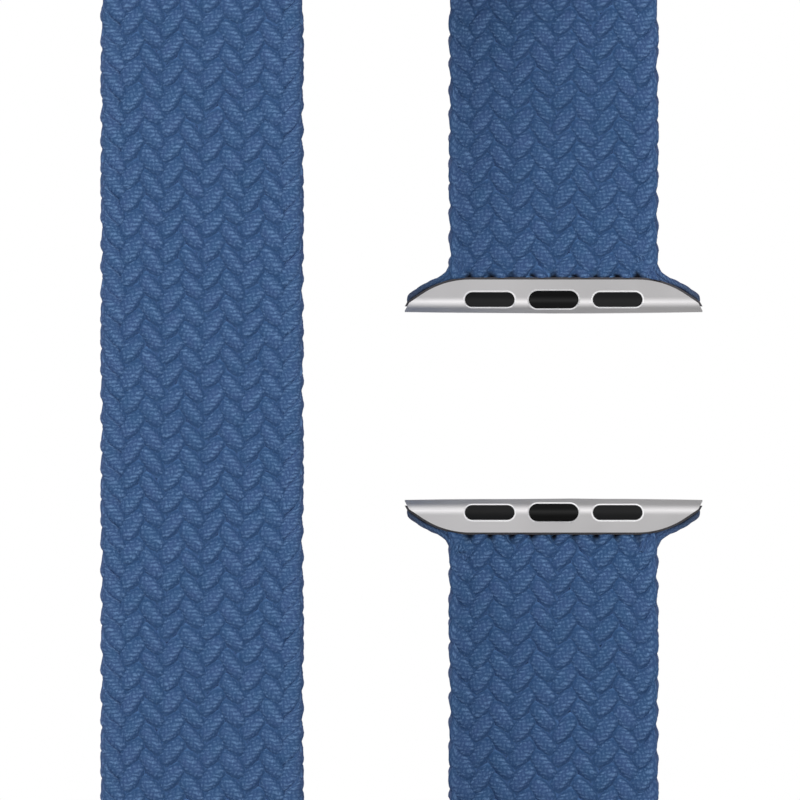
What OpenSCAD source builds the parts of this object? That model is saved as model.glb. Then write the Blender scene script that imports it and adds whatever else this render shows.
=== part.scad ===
// Braided stretch watch strap: one flat braided band between two slide-in lugs.
// Units are millimetres. Origin: the middle of the watch's place, halfway between
// the two lugs, in the mid-plane of the strap run that carries them.
// +X runs along the lugs, +Z from the lower lug to the upper one, and -Y is the
// wrist side, on which the lugs show their latch and pads.
// The lug is drawn once, with its tips at z = 0 and the strap above it.

/* [Lug] */
// Length of a lug, tip to tip
lug_length = 31.2; // [29:0.1:34]
// Height of a lug from its tips to its straight top edge
lug_height = 3.4; // [3.2:0.1:4]
// Open gap between the two lugs, where the watch goes
lug_gap = 19.4; // [12:0.2:40]
// Radius of the shoulders, where the top edge turns down to the tips
shoulder_r = 9; // [8:0.25:9.5]
// Slope of the straight stretch between shoulder and tip, in degrees
tip_slope = 34; // [32:1:36]
// Height above the tips at which that slope would meet the lug's ends
slope_end_height = 0.65; // [0.5:0.05:0.75]
// Length of the nose at each end, where the outline turns down steeply
nose_length = 0.45; // [0.35:0.05:0.6]
// Height of the nose's blunt end
tip_height = 0.15; // [0.1:0.05:0.3]
// How far the middle of the tip line bows towards the watch
tip_line_bow = 0.15; // [0.1:0.05:0.3]
// Depth of the shell on the wrist side
shell_depth = 2; // [2:0.05:2.4]
// Thickness of the shell's front wall
front_wall = 0.6; // [0.5:0.05:0.65]
// Height of the bevel along the shell's tip line
bevel_height = 1.15; // [0.9:0.05:1.3]
// Depth of that bevel
bevel_depth = 0.8; // [0.6:0.05:0.9]
// Thickness of the rear cover
cover_thickness = 0.65; // [0.6:0.05:0.9]

/* [Latch and pads] */
// Length of the slots for the latch and the pads
slot_length = 5.2; // [4.6:0.1:5.4]
// Height of the two pad slots
pad_slot_height = 1.55; // [1.4:0.05:1.7]
// Height of the latch slot
latch_slot_height = 1.85; // [1.7:0.05:1.9]
// Distance between neighbouring slots, centre to centre
slot_pitch = 6.7; // [6.4:0.1:7]
// Height of the slots' centre line above the tips
slot_line = 1.3; // [1.25:0.05:1.4]
// How far the latch can be pressed in
latch_travel = 0.35; // [0.2:0.05:0.4]
// How far the pressed latch still stands out of the shell
latch_pressed_out = 0.1; // [0.05:0.05:0.3]
// How far a pad stands out of the shell
pad_stands_out = 0.12; // [0.05:0.01:0.2]
// Gap round the latch and round the pads
fit_gap = 0.05; // [0.03:0.01:0.08]
// Thickness of the latch's leaf spring
spring_leaf = 0.1; // [0.06:0.01:0.12]

/* [Strap] */
// Width of the braid on the runs that hold the lugs
strap_width = 21.8; // [20:0.1:23]
// Width of the braid on the drawn-out back run
back_run_width = 21.2; // [19:0.1:23]
// Thickness of the braid
strap_thickness = 2.8; // [2.4:0.1:3.2]
// Sideways distance between the back run and the lug runs
run_offset = 36.5; // [34:0.5:42]
// Height above the origin at which the straight runs end
run_top = 43.5; // [36:0.5:60]
// Radius at which the band turns over at top and bottom
turn_r = 16; // [14:0.5:22]
// How far the woven tail reaches past a lug's shoulders
fan_margin = 0.75; // [0.5:0.05:0.8]
// Height above a lug's tips at which the woven tail and the lip beside it end
fan_end = 0.6; // [0.5:0.05:0.8]
// Radius of the hollow curve where the strap widens into the tail
fan_fillet_r = 3.5; // [1.5:0.1:3.6]
// Height above a lug's tips of the line on which the strap flexes
flex_height = 8.4; // [8:0.1:12]
// Thickness of the tail that the lug clamps
tail_thickness = 0.9; // [0.8:0.05:1]
// Diameter of one elastic thread inside the braid
thread_d = 0.7; // [0.5:0.05:0.8]
// Number of elastic threads
thread_count = 8; // [5:1:9]

/* [Hidden] */

round_steps = 48;             // $fn of a true cylinder
spring_steps = 720;           // $fn of the spring's wide arc
arc_steps = 10;               // points along a shoulder of the lug
bow_steps = 8;                // points along half of the bowed tip line
cut = 1;                      // how far cutting tools run past a face
seat_gap = 0.05;              // gap between parts that sit in one another
metal = "gainsboro";
dark = "dimgray";
braid_blue = "steelblue";

// Lug levels along Y, from the wrist side to the outer side
front_y = -shell_depth;
wall_y = front_y + front_wall;
flange_y = wall_y + seat_gap;
flange_thickness = 0.25;
plate_thickness = 0.35;
plate_head = 0.15;
plate_back_y = -plate_head - seat_gap;
plate_front_y = plate_back_y - plate_thickness;
tail_front_y = seat_gap;
tail_back_y = tail_front_y + tail_thickness;
cover_front_y = tail_back_y + seat_gap;
cover_back_y = cover_front_y + cover_thickness;

// Outline of the lug
half_length = lug_length / 2;
slope_normal = [sin(tip_slope), cos(tip_slope)];
shoulder_z = lug_height - shoulder_r;
shoulder_x = (slope_normal * [half_length, slope_end_height] - shoulder_r
    - slope_normal[1] * shoulder_z) / slope_normal[0];
nose = [half_length - nose_length, slope_end_height + nose_length * tan(tip_slope)];
nose_slope = atan((nose[1] - tip_height) / nose_length);
nose_normal = [sin(nose_slope), cos(nose_slope)];
bow_r = (half_length ^ 2 + tip_line_bow ^ 2) / (2 * tip_line_bow);

// Pocket behind the front wall, and the ledges beside it that carry the retainer plate
flange_lip = 0.25;
pocket_x = slot_pitch + slot_length / 2 + flange_lip + 2 * seat_gap;
ledge_width = 1.4;
plate_x = pocket_x + ledge_width;
pocket_low = slot_line - latch_slot_height / 2;
pocket_high = slot_line + latch_slot_height / 2 + flange_lip + seat_gap;
plate_screw_x = pocket_x + ledge_width / 2;
plate_screw_r = 0.3;
plate_screw_head_r = 0.5;
plate_screw_depth = 0.7;

// Screws that hold the rear cover on the shell, through the grip bar
cover_screw_r = 0.35;
cover_screw_head_r = 0.65;
cover_screw_head = 0.3;
cover_screw_x = plate_x + seat_gap + cover_screw_head_r;
cover_screw_z = slot_line;
cover_screw_depth = 1.1;
sill_height = 0.35;
grip_low = sill_height + seat_gap;
grip_high = 2 * cover_screw_z - grip_low;
grip_x = cover_screw_x + cover_screw_head_r;
seal_width = 0.22;
fan_inset = 0.15;               // how far the tail's ends stay inside the lug's tips
seal_front_y = front_y + 0.5;

// Leaf spring between the latch's flange and the retainer plate
spring_span = 4.2;
spring_width = 1.2;

// Strap
half_t = strap_thickness / 2;
flex_gap = 0.3;               // clear gap beside the rounded end at the flex line
edge_corner = 0.9;            // corner radius of the braid's flat section
corner_steps = 3;
flat_strips = 8;              // strips that a flat side of the band is drawn in
tip_z = lug_gap / 2 + tip_line_bow;
flex_z = tip_z + flex_height;
sleeve_wall = 0.85;
thread_sides = 6;
turn_steps = 16;
cap_steps = 4;
tail_top = flex_height - half_t - flex_gap;

// Turn of the band, unrolled flat: an arc, a straight stretch and an arc back
turn_length = PI * turn_r;
sweep_share = 0.48;             // radius of the sideways sweep as a share of the run offset
sweep_r = sweep_share * run_offset;
side_left = run_offset - 2 * sweep_r;
sweep_straight = sqrt(side_left ^ 2 + turn_length ^ 2 - 4 * sweep_r ^ 2);
sweep_angle = atan2(side_left, turn_length) + atan2(2 * sweep_r, sweep_straight);
sweep_arc = sweep_r * sweep_angle * PI / 180;
sweep_total = 2 * sweep_arc + sweep_straight;

// [sideways, along, heading] after a distance q on the unrolled way
function sweep_at(q) =
    q <= sweep_arc
        ? let (h = q / sweep_r * 180 / PI)
            [sweep_r * (1 - cos(h)), sweep_r * sin(h), h]
        : q <= sweep_arc + sweep_straight
            ? let (e = q - sweep_arc)
                [sweep_r * (1 - cos(sweep_angle)) + e * sin(sweep_angle),
                 sweep_r * sin(sweep_angle) + e * cos(sweep_angle), sweep_angle]
            : let (b = sweep_at(sweep_total - q))
                [run_offset - b[0], turn_length - b[1], b[2]];

// A station is [centre, width direction, outward direction, half width, half thickness]
function straight_station(z, half_thick = half_t) =
    [[0, 0, z], [1, 0, 0], [0, 1, 0], strap_width / 2, half_thick];
function turn_station(q) =
    let (s = sweep_at(q), phi = s[1] / turn_r * 180 / PI, h = s[2], share = q / sweep_total)
    [[-s[0], turn_r * (cos(phi) - 1), run_top + turn_r * sin(phi)],
     [cos(h), -sin(h) * sin(phi), sin(h) * cos(phi)],
     [0, cos(phi), sin(phi)],
     (strap_width * (1 - share) + back_run_width * share) / 2,
     half_t];
function way_from(first_z) =
    [straight_station(first_z), straight_station(run_top),
     for (i = [1:turn_steps]) turn_station(sweep_total * i / turn_steps)];

// Rounded end of the loop, a half cylinder about the flex line
function cap_stations() =
    [for (a = [90 / cap_steps:90 / cap_steps:89])
        straight_station(flex_z - half_t * cos(a), half_t * sin(a))];

// Points round a flat section with rounded corners, and round a thread. The flat sides
// have points too, because the turn twists them.
function section(half_w, half_thick, corner) =
    let (r = min(corner, half_thick * 0.95))
    [for (k = [0:3])
        let (across = k == 0 || k == 3 ? half_w - r : r - half_w,
             through = k < 2 ? half_thick - r : r - half_thick)
        each concat(
            [for (i = [0:corner_steps])
                let (a = 90 * k + 90 * i / corner_steps)
                [across + r * cos(a), through + r * sin(a)]],
            [for (j = [1:flat_strips - 1]) if (k % 2 == 0)
                [across * (1 - 2 * j / flat_strips), through + r * cos(90 * k)]])];
function thread_section(side) =
    [for (i = [0:thread_sides - 1])
        [side, 0] + thread_d / 2 * [cos(360 * i / thread_sides), sin(360 * i / thread_sides)]];
function ring(station, outline) =
    [for (p = outline) station[0] + station[1] * p[0] + station[2] * p[1]];

// Rings from the upper lug to the back run, and their mirror images down to the lower lug
function whole_way(rings) =
    concat(rings, [for (i = [len(rings) - 1:-1:0]) [for (p = rings[i]) [p[0], p[1], -p[2]]]]);

module skin(rings) {
    m = len(rings[0]);
    n = len(rings);
    sides = [for (k = [0:n - 2], j = [0:m - 1])
        let (a = k * m + j, b = k * m + (j + 1) % m)
        each [[a, a + m, b], [b, a + m, b + m]]];
    first = [for (j = [1:m - 2]) [0, j, j + 1]];
    last = [for (j = [1:m - 2]) (n - 1) * m * [1, 1, 1] + [0, j + 1, j]];
    polyhedron([for (r = rings, p = r) p], concat(sides, first, last));
}

// The braided band from one flex line over both turns to the other, hollow for its threads
module braid_loop() {
    outside = concat(cap_stations(), way_from(flex_z));
    inside = way_from(flex_z + seat_gap);
    color(braid_blue) difference() {
        skin(whole_way([for (s = outside) ring(s, section(s[3], s[4], edge_corner))]));
        skin(whole_way([for (s = inside)
            ring(s, section(s[3] - sleeve_wall, half_t - sleeve_wall, thread_d / 2))]));
    }
}

// Elastic threads that run along inside the braid and make it stretch
module elastic_threads() {
    color("ghostwhite") for (i = [0:thread_count - 1]) {
        place = (2 * i + 1) / thread_count - 1;
        skin(whole_way([for (s = way_from(flex_z + 2 * seat_gap))
            ring(s, thread_section(place * (s[3] - sleeve_wall)))]));
    }
}

function arc(centre, radius, from, to, steps) =
    [for (i = [0:steps])
        let (a = from + (to - from) * i / steps) centre + radius * [cos(a), sin(a)]];

// Both halves of an outline, from its right half listed from top to bottom
function mirrored(half) =
    concat(half, [for (i = [len(half) - 1:-1:0]) if (half[i][0] > 0) [-half[i][0], half[i][1]]]);

// Height of the bowed tip line at a distance x from the middle
function bow_at(x) = bow_r - tip_line_bow - sqrt(bow_r ^ 2 - x ^ 2);

// Outline of a lug, or of what follows that outline at a distance
module lug_outline(grow = 0) {
    corner = nose + grow * (slope_normal + nose_normal) / (1 + slope_normal * nose_normal);
    tip = [half_length, tip_height] + grow * nose_normal;
    polygon(mirrored(concat(
        arc([shoulder_x, shoulder_z], shoulder_r + grow, 90, 90 - tip_slope, arc_steps),
        [corner, tip],
        [for (i = [0:bow_steps]) let (x = tip[0] * (1 - i / bow_steps)) [x, bow_at(x)]])));
}

// Draws its flat children in the XZ plane, from one Y level to another
module between(y_from, y_to) {
    translate([0, y_to, 0]) rotate([90, 0, 0]) linear_extrude(y_to - y_from) children();
}

module bore(x, z, radius, y_from, y_to) {
    translate([x, y_to, z]) rotate([90, 0, 0])
        cylinder(r = radius, h = y_to - y_from, $fn = round_steps);
}

// Slot outline with round ends
module pill(length, height) {
    square([length - height, height], center = true);
    for (side = [-1, 1])
        translate([side * (length - height) / 2, 0]) circle(d = height, $fn = round_steps);
}

module slot_at(x, length, height, y_from, y_to) {
    between(y_from, y_to) translate([x, slot_line]) pill(length, height);
}

// Metal front of the lug, with three slots and a pocket for what is behind them
module shell() {
    color(metal) difference() {
        union() {
            between(front_y, 0) lug_outline();
            between(0, cover_front_y - seat_gap) intersection() {
                lug_outline();
                translate([-half_length, -cut]) square([lug_length, cut + sill_height]);
            }
        }
        slot_at(0, slot_length, latch_slot_height, front_y - cut, wall_y + cut);
        for (side = [-1, 1])
            slot_at(side * slot_pitch, slot_length, pad_slot_height, front_y - cut, wall_y + cut);
        between(wall_y, cut) translate([-pocket_x, pocket_low])
            square([2 * pocket_x, pocket_high - pocket_low]);
        between(plate_front_y, cut) translate([-plate_x, pocket_low])
            square([2 * plate_x, pocket_high - pocket_low]);
        for (side = [-1, 1]) {
            bore(side * plate_screw_x, slot_line, plate_screw_r,
                plate_front_y - plate_screw_depth, cut);
            bore(side * cover_screw_x, cover_screw_z, cover_screw_r, -cover_screw_depth, cut);
        }
        bevel_top = bevel_height - tip_line_bow;
        bevel_run = bevel_depth / bevel_height;
        rotate([90, 0, 90]) linear_extrude(lug_length + 2 * cut, center = true)
            polygon([[front_y - cut * bevel_run, bevel_top + cut],
                [front_y + (bevel_height + cut) * bevel_run, -tip_line_bow - cut],
                [front_y - cut * bevel_run, -tip_line_bow - cut]]);
    }
}

// Metal cover on the outer side
module rear_cover() {
    color(metal) difference() {
        between(cover_front_y, cover_back_y) lug_outline();
        for (side = [-1, 1]) {
            bore(side * cover_screw_x, cover_screw_z, cover_screw_r + seat_gap,
                cover_front_y - cut, cover_back_y + cut);
            bore(side * cover_screw_x, cover_screw_z, cover_screw_head_r + seat_gap,
                cover_back_y - cover_screw_head, cover_back_y + cut);
        }
    }
}

// Dark lip between the metal's edge and the woven tail
module edge_seal() {
    color(dark) for (level = [[seal_front_y, 0], [cover_front_y, cover_back_y]])
        between(level[0], level[1]) difference() {
            lug_outline(seal_width);
            lug_outline();
            translate([-lug_length, -lug_height])
                square([2 * lug_length, lug_height + fan_end]);
        }
}

module pad(side) {
    color(dark) {
        slot_at(side * slot_pitch, slot_length - 2 * fit_gap, pad_slot_height - 2 * fit_gap,
            front_y - pad_stands_out, flange_y);
        between(flange_y, plate_front_y - seat_gap)
            translate([side * slot_pitch, slot_line + flange_lip / 2])
            square([slot_length + 2 * flange_lip, pad_slot_height - 2 * fit_gap + flange_lip],
                center = true);
    }
}

// Spring-loaded button that drops into the watch's recess
module latch() {
    color(dark) {
        slot_at(0, slot_length - 2 * fit_gap, latch_slot_height - 2 * fit_gap,
            front_y - latch_pressed_out - latch_travel, flange_y);
        between(flange_y, flange_y + flange_thickness)
            translate([0, slot_line + flange_lip / 2])
            square([slot_length + 2 * flange_lip, latch_slot_height - 2 * fit_gap + flange_lip],
                center = true);
    }
}

// Bowed leaf: its ends rest on the retainer plate and its middle holds the latch out
module latch_spring() {
    leaf_back = plate_front_y - seat_gap / 2;
    leaf_front = flange_y + flange_thickness + seat_gap / 2;
    rise = leaf_back - leaf_front - spring_leaf;
    bend_r = (spring_span ^ 2 / 4 + rise ^ 2) / (2 * rise);
    color("silver") translate([0, leaf_front, slot_line - spring_width / 2])
        linear_extrude(spring_width) intersection() {
            translate([0, bend_r + spring_leaf]) difference() {
                circle(r = bend_r + spring_leaf, $fn = spring_steps);
                circle(r = bend_r, $fn = spring_steps);
            }
            translate([-spring_span / 2, -cut]) square([spring_span, leaf_back - leaf_front + cut]);
        }
}

module retainer_plate() {
    color("silver") difference() {
        between(plate_front_y, plate_back_y) translate([0, (pocket_low + pocket_high) / 2])
            square([2 * (plate_x - seat_gap), pocket_high - pocket_low - 2 * seat_gap],
                center = true);
        for (side = [-1, 1])
            bore(side * plate_screw_x, slot_line, plate_screw_r + seat_gap,
                plate_front_y - cut, plate_back_y + cut);
    }
}

module retainer_screws() {
    color(metal) for (side = [-1, 1]) {
        bore(side * plate_screw_x, slot_line, plate_screw_r,
            plate_front_y - plate_screw_depth + seat_gap, plate_back_y);
        bore(side * plate_screw_x, slot_line, plate_screw_head_r,
            plate_back_y, plate_back_y + plate_head);
    }
}

// Moulded bar on the end of the tail, which the lug clamps
module grip_bar() {
    color(dark) difference() {
        between(tail_front_y, tail_back_y) translate([-grip_x, grip_low])
            square([2 * grip_x, grip_high - grip_low]);
        for (side = [-1, 1])
            bore(side * cover_screw_x, cover_screw_z, cover_screw_r + seat_gap,
                tail_front_y - cut, tail_back_y + cut);
    }
}

module cover_screws() {
    color(metal) for (side = [-1, 1]) {
        bore(side * cover_screw_x, cover_screw_z, cover_screw_r,
            -cover_screw_depth + seat_gap, cover_back_y - cover_screw_head);
        bore(side * cover_screw_x, cover_screw_z, cover_screw_head_r,
            cover_back_y - cover_screw_head, cover_back_y);
    }
}

// Strap edge, hollow curve and margin round the lug's shoulders
module fan_outline() {
    reach = shoulder_r + fan_margin;
    curve = [strap_width / 2 + fan_fillet_r,
        shoulder_z + sqrt((reach + fan_fillet_r) ^ 2
            - (strap_width / 2 + fan_fillet_r - shoulder_x) ^ 2)];
    touch_angle = atan2(curve[1] - shoulder_z, curve[0] - shoulder_x);
    end_x = half_length - fan_inset;
    end_z = shoulder_z
        + (reach - slope_normal[0] * (end_x - shoulder_x)) / slope_normal[1];
    polygon(mirrored(concat(
        [[strap_width / 2, tail_top]],
        arc(curve, fan_fillet_r, 180, 180 + touch_angle, arc_steps),
        arc([shoulder_x, shoulder_z], reach, touch_angle, 90 - tip_slope, arc_steps),
        [[end_x, end_z], [end_x, fan_end], [0, fan_end]])));
}

// Woven end of the band: full thickness above the lug, thin tongue inside it
module braid_tail() {
    color(braid_blue) {
        difference() {
            between(-half_t, half_t) fan_outline();
            between(-half_t - cut, half_t + cut) lug_outline(seal_width);
        }
        difference() {
            between(tail_front_y, tail_back_y) lug_outline(seal_width);
            translate([-lug_length, -lug_height, -lug_height])
                cube([2 * lug_length, 2 * lug_height, lug_height + grip_high]);
        }
    }
}

module upper() {
    translate([0, 0, tip_z]) children();
}
module lower() {
    mirror([0, 0, 1]) upper() children();
}

braid_loop();
elastic_threads();
upper() shell();  // upper_shell
upper() rear_cover();  // upper_rear_cover
upper() edge_seal();  // upper_edge_seal
upper() pad(-1);  // upper_left_pad
upper() pad(1);  // upper_right_pad
upper() latch();  // upper_latch
upper() latch_spring();  // upper_latch_spring
upper() retainer_plate();  // upper_retainer_plate
upper() retainer_screws();  // upper_retainer_screws
upper() grip_bar();  // upper_grip_bar
upper() cover_screws();  // upper_cover_screws
upper() braid_tail();  // upper_braid_tail
lower() shell();  // lower_shell
lower() rear_cover();  // lower_rear_cover
lower() edge_seal();  // lower_edge_seal
lower() pad(-1);  // lower_left_pad
lower() pad(1);  // lower_right_pad
lower() latch();  // lower_latch
lower() latch_spring();  // lower_latch_spring
lower() retainer_plate();  // lower_retainer_plate
lower() retainer_screws();  // lower_retainer_screws
lower() grip_bar();  // lower_grip_bar
lower() cover_screws();  // lower_cover_screws
lower() braid_tail();  // lower_braid_tail
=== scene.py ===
# %% [markdown]
# # A braided stretch strap for a watch
#
# The strap is one flat braid of thick yarn cords. Its two ends fan out into metal lugs
# that slide into the watch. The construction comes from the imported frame: the lugs,
# their latches, pads, springs and screws are there at their real size. What the frame
# only stands in for is the braid itself, so most of this lesson is about that braid.

# %% Load the frame
import math

import bmesh
import bpy
import numpy as np
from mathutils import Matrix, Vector


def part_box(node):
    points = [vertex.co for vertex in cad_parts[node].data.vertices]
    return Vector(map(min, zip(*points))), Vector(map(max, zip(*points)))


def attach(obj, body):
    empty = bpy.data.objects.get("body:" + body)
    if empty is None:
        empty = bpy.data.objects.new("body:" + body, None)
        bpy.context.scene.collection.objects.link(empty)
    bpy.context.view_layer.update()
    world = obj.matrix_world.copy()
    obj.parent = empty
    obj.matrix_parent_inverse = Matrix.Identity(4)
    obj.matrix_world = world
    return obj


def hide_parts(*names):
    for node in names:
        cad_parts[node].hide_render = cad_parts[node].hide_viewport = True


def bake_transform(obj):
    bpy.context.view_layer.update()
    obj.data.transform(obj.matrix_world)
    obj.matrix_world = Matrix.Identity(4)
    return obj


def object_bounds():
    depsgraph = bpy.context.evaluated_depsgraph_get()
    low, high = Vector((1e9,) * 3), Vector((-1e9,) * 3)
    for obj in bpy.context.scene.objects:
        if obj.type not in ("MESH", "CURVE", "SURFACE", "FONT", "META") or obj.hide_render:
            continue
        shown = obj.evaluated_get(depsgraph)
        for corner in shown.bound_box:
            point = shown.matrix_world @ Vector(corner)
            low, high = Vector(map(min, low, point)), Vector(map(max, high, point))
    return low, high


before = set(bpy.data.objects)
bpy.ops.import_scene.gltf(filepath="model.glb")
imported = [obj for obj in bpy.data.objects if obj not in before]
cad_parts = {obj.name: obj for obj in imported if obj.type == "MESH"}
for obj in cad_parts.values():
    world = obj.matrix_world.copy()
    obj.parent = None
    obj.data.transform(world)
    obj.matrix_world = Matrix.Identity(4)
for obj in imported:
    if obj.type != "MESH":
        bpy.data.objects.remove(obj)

MM = 0.001
cad_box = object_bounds()

# %% [markdown]
# The camera stands straight in front, on the wrist side, with a long lens, because
# the picture shows almost no perspective. It aims between the back run on the left and
# the lug runs on the right, so the turns of the loop lie outside the picture.

# %% Camera
VIEW_HEIGHT = 83.9 * MM
VIEW_MIDDLE = (-16.1 * MM, 0.63 * MM)
LENS = 800.0
SENSOR = 36.0
camera_data = bpy.data.cameras.new("long_lens")
camera_data.lens = LENS
camera_data.sensor_width = SENSOR
camera_data.clip_start = 0.1
camera_data.clip_end = 20.0
camera = bpy.data.objects.new("camera", camera_data)
camera_distance = VIEW_HEIGHT * LENS / SENSOR
camera.location = (VIEW_MIDDLE[0], -camera_distance, VIEW_MIDDLE[1])
camera.rotation_euler = (math.radians(90), 0, 0)
bpy.context.scene.collection.objects.link(camera)
bpy.context.scene.camera = camera
print("camera distance", round(camera_distance, 3), "m")

# %% [markdown]
# ## Where the strap runs
#
# The band leaves the upper lug, turns over, comes down as the back run, turns again
# and ends in the lower lug. Every piece of the braid needs three directions at each
# point of that way: along the band, across it, and outward from the loop. The lower
# half is the mirror image of the upper one.

# %% Sizes of the band, in millimetres
STRAP_WIDTH = 2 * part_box("braid_loop")[1].x / MM
BACK_WIDTH = 21.4
RUN_SPREAD = 1.034
RUN_OFFSET = 36.5
RUN_TOP = 43.5
TURN_R = 16.0
SWEEP_SHARE = 0.48
SWEEP_R = SWEEP_SHARE * RUN_OFFSET
TIP_BOW = 0.15
TIP_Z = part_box("upper_shell")[0].z / MM + TIP_BOW

turn_length = math.pi * TURN_R
side_left = RUN_OFFSET - 2 * SWEEP_R
sweep_straight = math.sqrt(side_left ** 2 + turn_length ** 2 - 4 * SWEEP_R ** 2)
sweep_angle = math.atan2(side_left, turn_length) + math.atan2(2 * SWEEP_R, sweep_straight)
sweep_arc = SWEEP_R * sweep_angle
turn_way = 2 * sweep_arc + sweep_straight
run_way = RUN_TOP - TIP_Z
way_total = 2 * (run_way + turn_way + RUN_TOP)
print("strap width", round(STRAP_WIDTH, 2), "way", round(way_total, 1), "mm")


# %% The way of the band
def sweep(q):
    """Sideways and along on the unrolled turn, and the heading there.
    An arc r(1 - cos h), r sin h with h = q / r, a straight stretch, and the arc again
    read backwards from the far end."""
    back = q > turn_way / 2
    e = np.where(back, turn_way - q, q)
    heading = np.minimum(e / SWEEP_R, sweep_angle)
    spare = np.maximum(e - sweep_arc, 0)
    side = SWEEP_R * (1 - np.cos(heading)) + spare * math.sin(sweep_angle)
    along = SWEEP_R * np.sin(heading) + spare * math.cos(sweep_angle)
    return (np.where(back, RUN_OFFSET - side, side),
            np.where(back, turn_length - along, along), heading)


def way(s):
    """Centre, width direction, outward direction and width scale after a way s.
    On the turn the centre is (-side, r(cos a - 1), top + r sin a) with a = along / r,
    and the width direction turns by the heading within the surface of that roll."""
    lower = s > way_total / 2
    e = np.where(lower, way_total - s, s)
    q = np.clip(e - run_way, 0, turn_way)
    side, along, heading = sweep(q)
    a = along / TURN_R
    rest = np.maximum(e - run_way - turn_way, 0)
    z = np.where(e < run_way, TIP_Z + e, RUN_TOP + TURN_R * np.sin(a) - rest)
    flip = np.where(lower, -1.0, 1.0)
    centre = np.stack([-side, TURN_R * (np.cos(a) - 1), z * flip], -1)
    width = np.stack([np.cos(heading), -np.sin(heading) * np.sin(a),
                      np.sin(heading) * np.cos(a) * flip], -1)
    out = np.stack([0 * a, np.cos(a), np.sin(a) * flip], -1)
    share = q / turn_way
    scale = RUN_SPREAD * (1 - share) + share * BACK_WIDTH / STRAP_WIDTH
    return centre, width, out, scale


print("the way leans", round(math.degrees(sweep_angle)), "degrees on the turns")


# %% [markdown]
# ## The braid
#
# It is a flat braid of 21 cords, as one makes it with 21 bobbins: each cord runs
# slantwise to one edge, rolls round it and comes back, and on its way it passes over
# two cords and under two. So each face shows ten columns of short slanted floats, one
# column leaning left and the next leaning right. A picture on a flat strip couldn't
# show that depth, so each cord is a real tube. All cords follow one formula, shifted
# by one pitch, and are worked out as whole arrays.

# %% The course of one cord
CORDS = 21
COLUMNS = 10
COLUMN = 2.13
PITCH_IN_PHOTO = 2.59
PITCH = way_total / round(way_total / PITCH_IN_PHOTO)
CORD_HALF_WIDTH = 1.04
CORD_HALF_THICKNESS = 0.7
FLOAT_HEIGHT = 0.64
EDGE_OVERRUN = 0.25
EDGE_ROUND = 0.437
EDGE_ZONE = 0.5
ROLL_REACH = 0.42
SQUARENESS = 1.6


def course(u):
    """Across, height and roll of a cord after u columns of its course.
    Across: a triangle wave between the edges, whose corners are hyperbolas
    sqrt(e^2 + c^2). Height: tanh(k sin(pi phase)), so that floats are flat.
    Roll: a quarter turn right at the edge, where the cord goes round."""
    half = COLUMNS + 2 * EDGE_OVERRUN
    w = np.mod(u, half) - EDGE_OVERRUN
    rightwards = np.mod(u, 2 * half) < half
    near = np.minimum(w, COLUMNS - w) + EDGE_OVERRUN
    middle = half / 2
    ease = (math.hypot(middle, EDGE_ROUND) - middle) / middle
    reach = middle - (np.sqrt(near ** 2 + EDGE_ROUND ** 2) - ease * near)
    across = np.where(w < COLUMNS / 2, -reach, reach) * COLUMN
    across = np.where(rightwards, across, -across)
    stretch = EDGE_ZONE / (EDGE_ZONE + EDGE_OVERRUN)
    phase = np.where(w < EDGE_ZONE, (w + EDGE_OVERRUN) * stretch, w)
    phase = np.where(w > COLUMNS - EDGE_ZONE,
                     COLUMNS - (COLUMNS + EDGE_OVERRUN - w) * stretch, phase)
    height = np.tanh(SQUARENESS * np.sin(np.pi * phase)) / math.tanh(SQUARENESS)
    roll = 0.5 * np.pi * np.exp(-(near / ROLL_REACH) ** 2)
    roll = np.where(across < 0, -roll, roll)
    return across, height * FLOAT_HEIGHT, roll, rightwards


print("pitch", round(PITCH, 3), "mm, cords", CORDS)


# %% [markdown]
# Pressed and worn, the real band has come to an even width, with a small scallop where
# each cord turns round its edge. Simulated cloth could settle like that, but a formula
# on the distance from the middle does it at once. Each point also keeps how high it
# lies, as an attribute, so that the material can paint shade into the valleys between
# floats, and a little painted light into the deepest of them.

# %% The settled edge and the lift
STEPS_PER_PITCH = 10
EDGE_SETTLE = 10.35
EDGE_GIVE = 0.4
NOTCH_BELOW = 0.12
NOTCH_DEPTH = 0.18
NOTCH_FROM = 8.0
EDGE_FLOATS_FROM = 9.3
SIDE_FROM = 10.5
EDGE_LIFT = 0.85
FLANK_DROP = 0.55


def settle_edge(from_middle, scale):
    """How far each point moves across the band. Beyond the settled edge it comes in by
    0.4 of the rest. What lies below the crests of the edge by more than a tenth of a
    millimetre then goes in by the notch depth, so that the scallops stand out."""
    beyond = np.abs(from_middle) - EDGE_SETTLE * scale[..., None]
    settled = np.abs(from_middle) - EDGE_GIVE * np.maximum(beyond, 0)
    crest = np.pad(settled.max(axis=(0, 2)), STEPS_PER_PITCH, mode="edge")
    crest = np.lib.stride_tricks.sliding_window_view(crest, 2 * STEPS_PER_PITCH + 1).max(axis=1)
    short = np.clip((crest[None, :, None] - settled) / NOTCH_BELOW, 0, 1)
    settled = settled - NOTCH_DEPTH * short * np.clip((settled - NOTCH_FROM) / 2, 0, 1)
    return np.sign(from_middle) * (settled - np.abs(from_middle))


# The lift only steers colour: the material paints shade where it is low.
def lift_of_cords(height, from_middle, across, roll, scale, c):
    """The distance from the band's mid-plane as a share of the highest crown. At the
    edges, where cords roll round and no crown is left, it is at least 0.85, less
    0.55 |c|^4 of it on the flanks of a cord that has not rolled yet."""
    lift = np.abs(height) / (FLOAT_HEIGHT + CORD_HALF_THICKNESS)
    edge = np.clip(np.abs(across) - EDGE_FLOATS_FROM, 0, 1)[..., None]
    flank = np.abs(c) ** 4 * (1 - np.abs(roll[..., None]) / (np.pi / 2))
    inner = np.clip((SIDE_FROM * scale[..., None] - np.abs(from_middle)) / 0.5, 0, 1)
    return np.maximum(lift, EDGE_LIFT * edge * (1 - FLANK_DROP * flank * inner))


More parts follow.
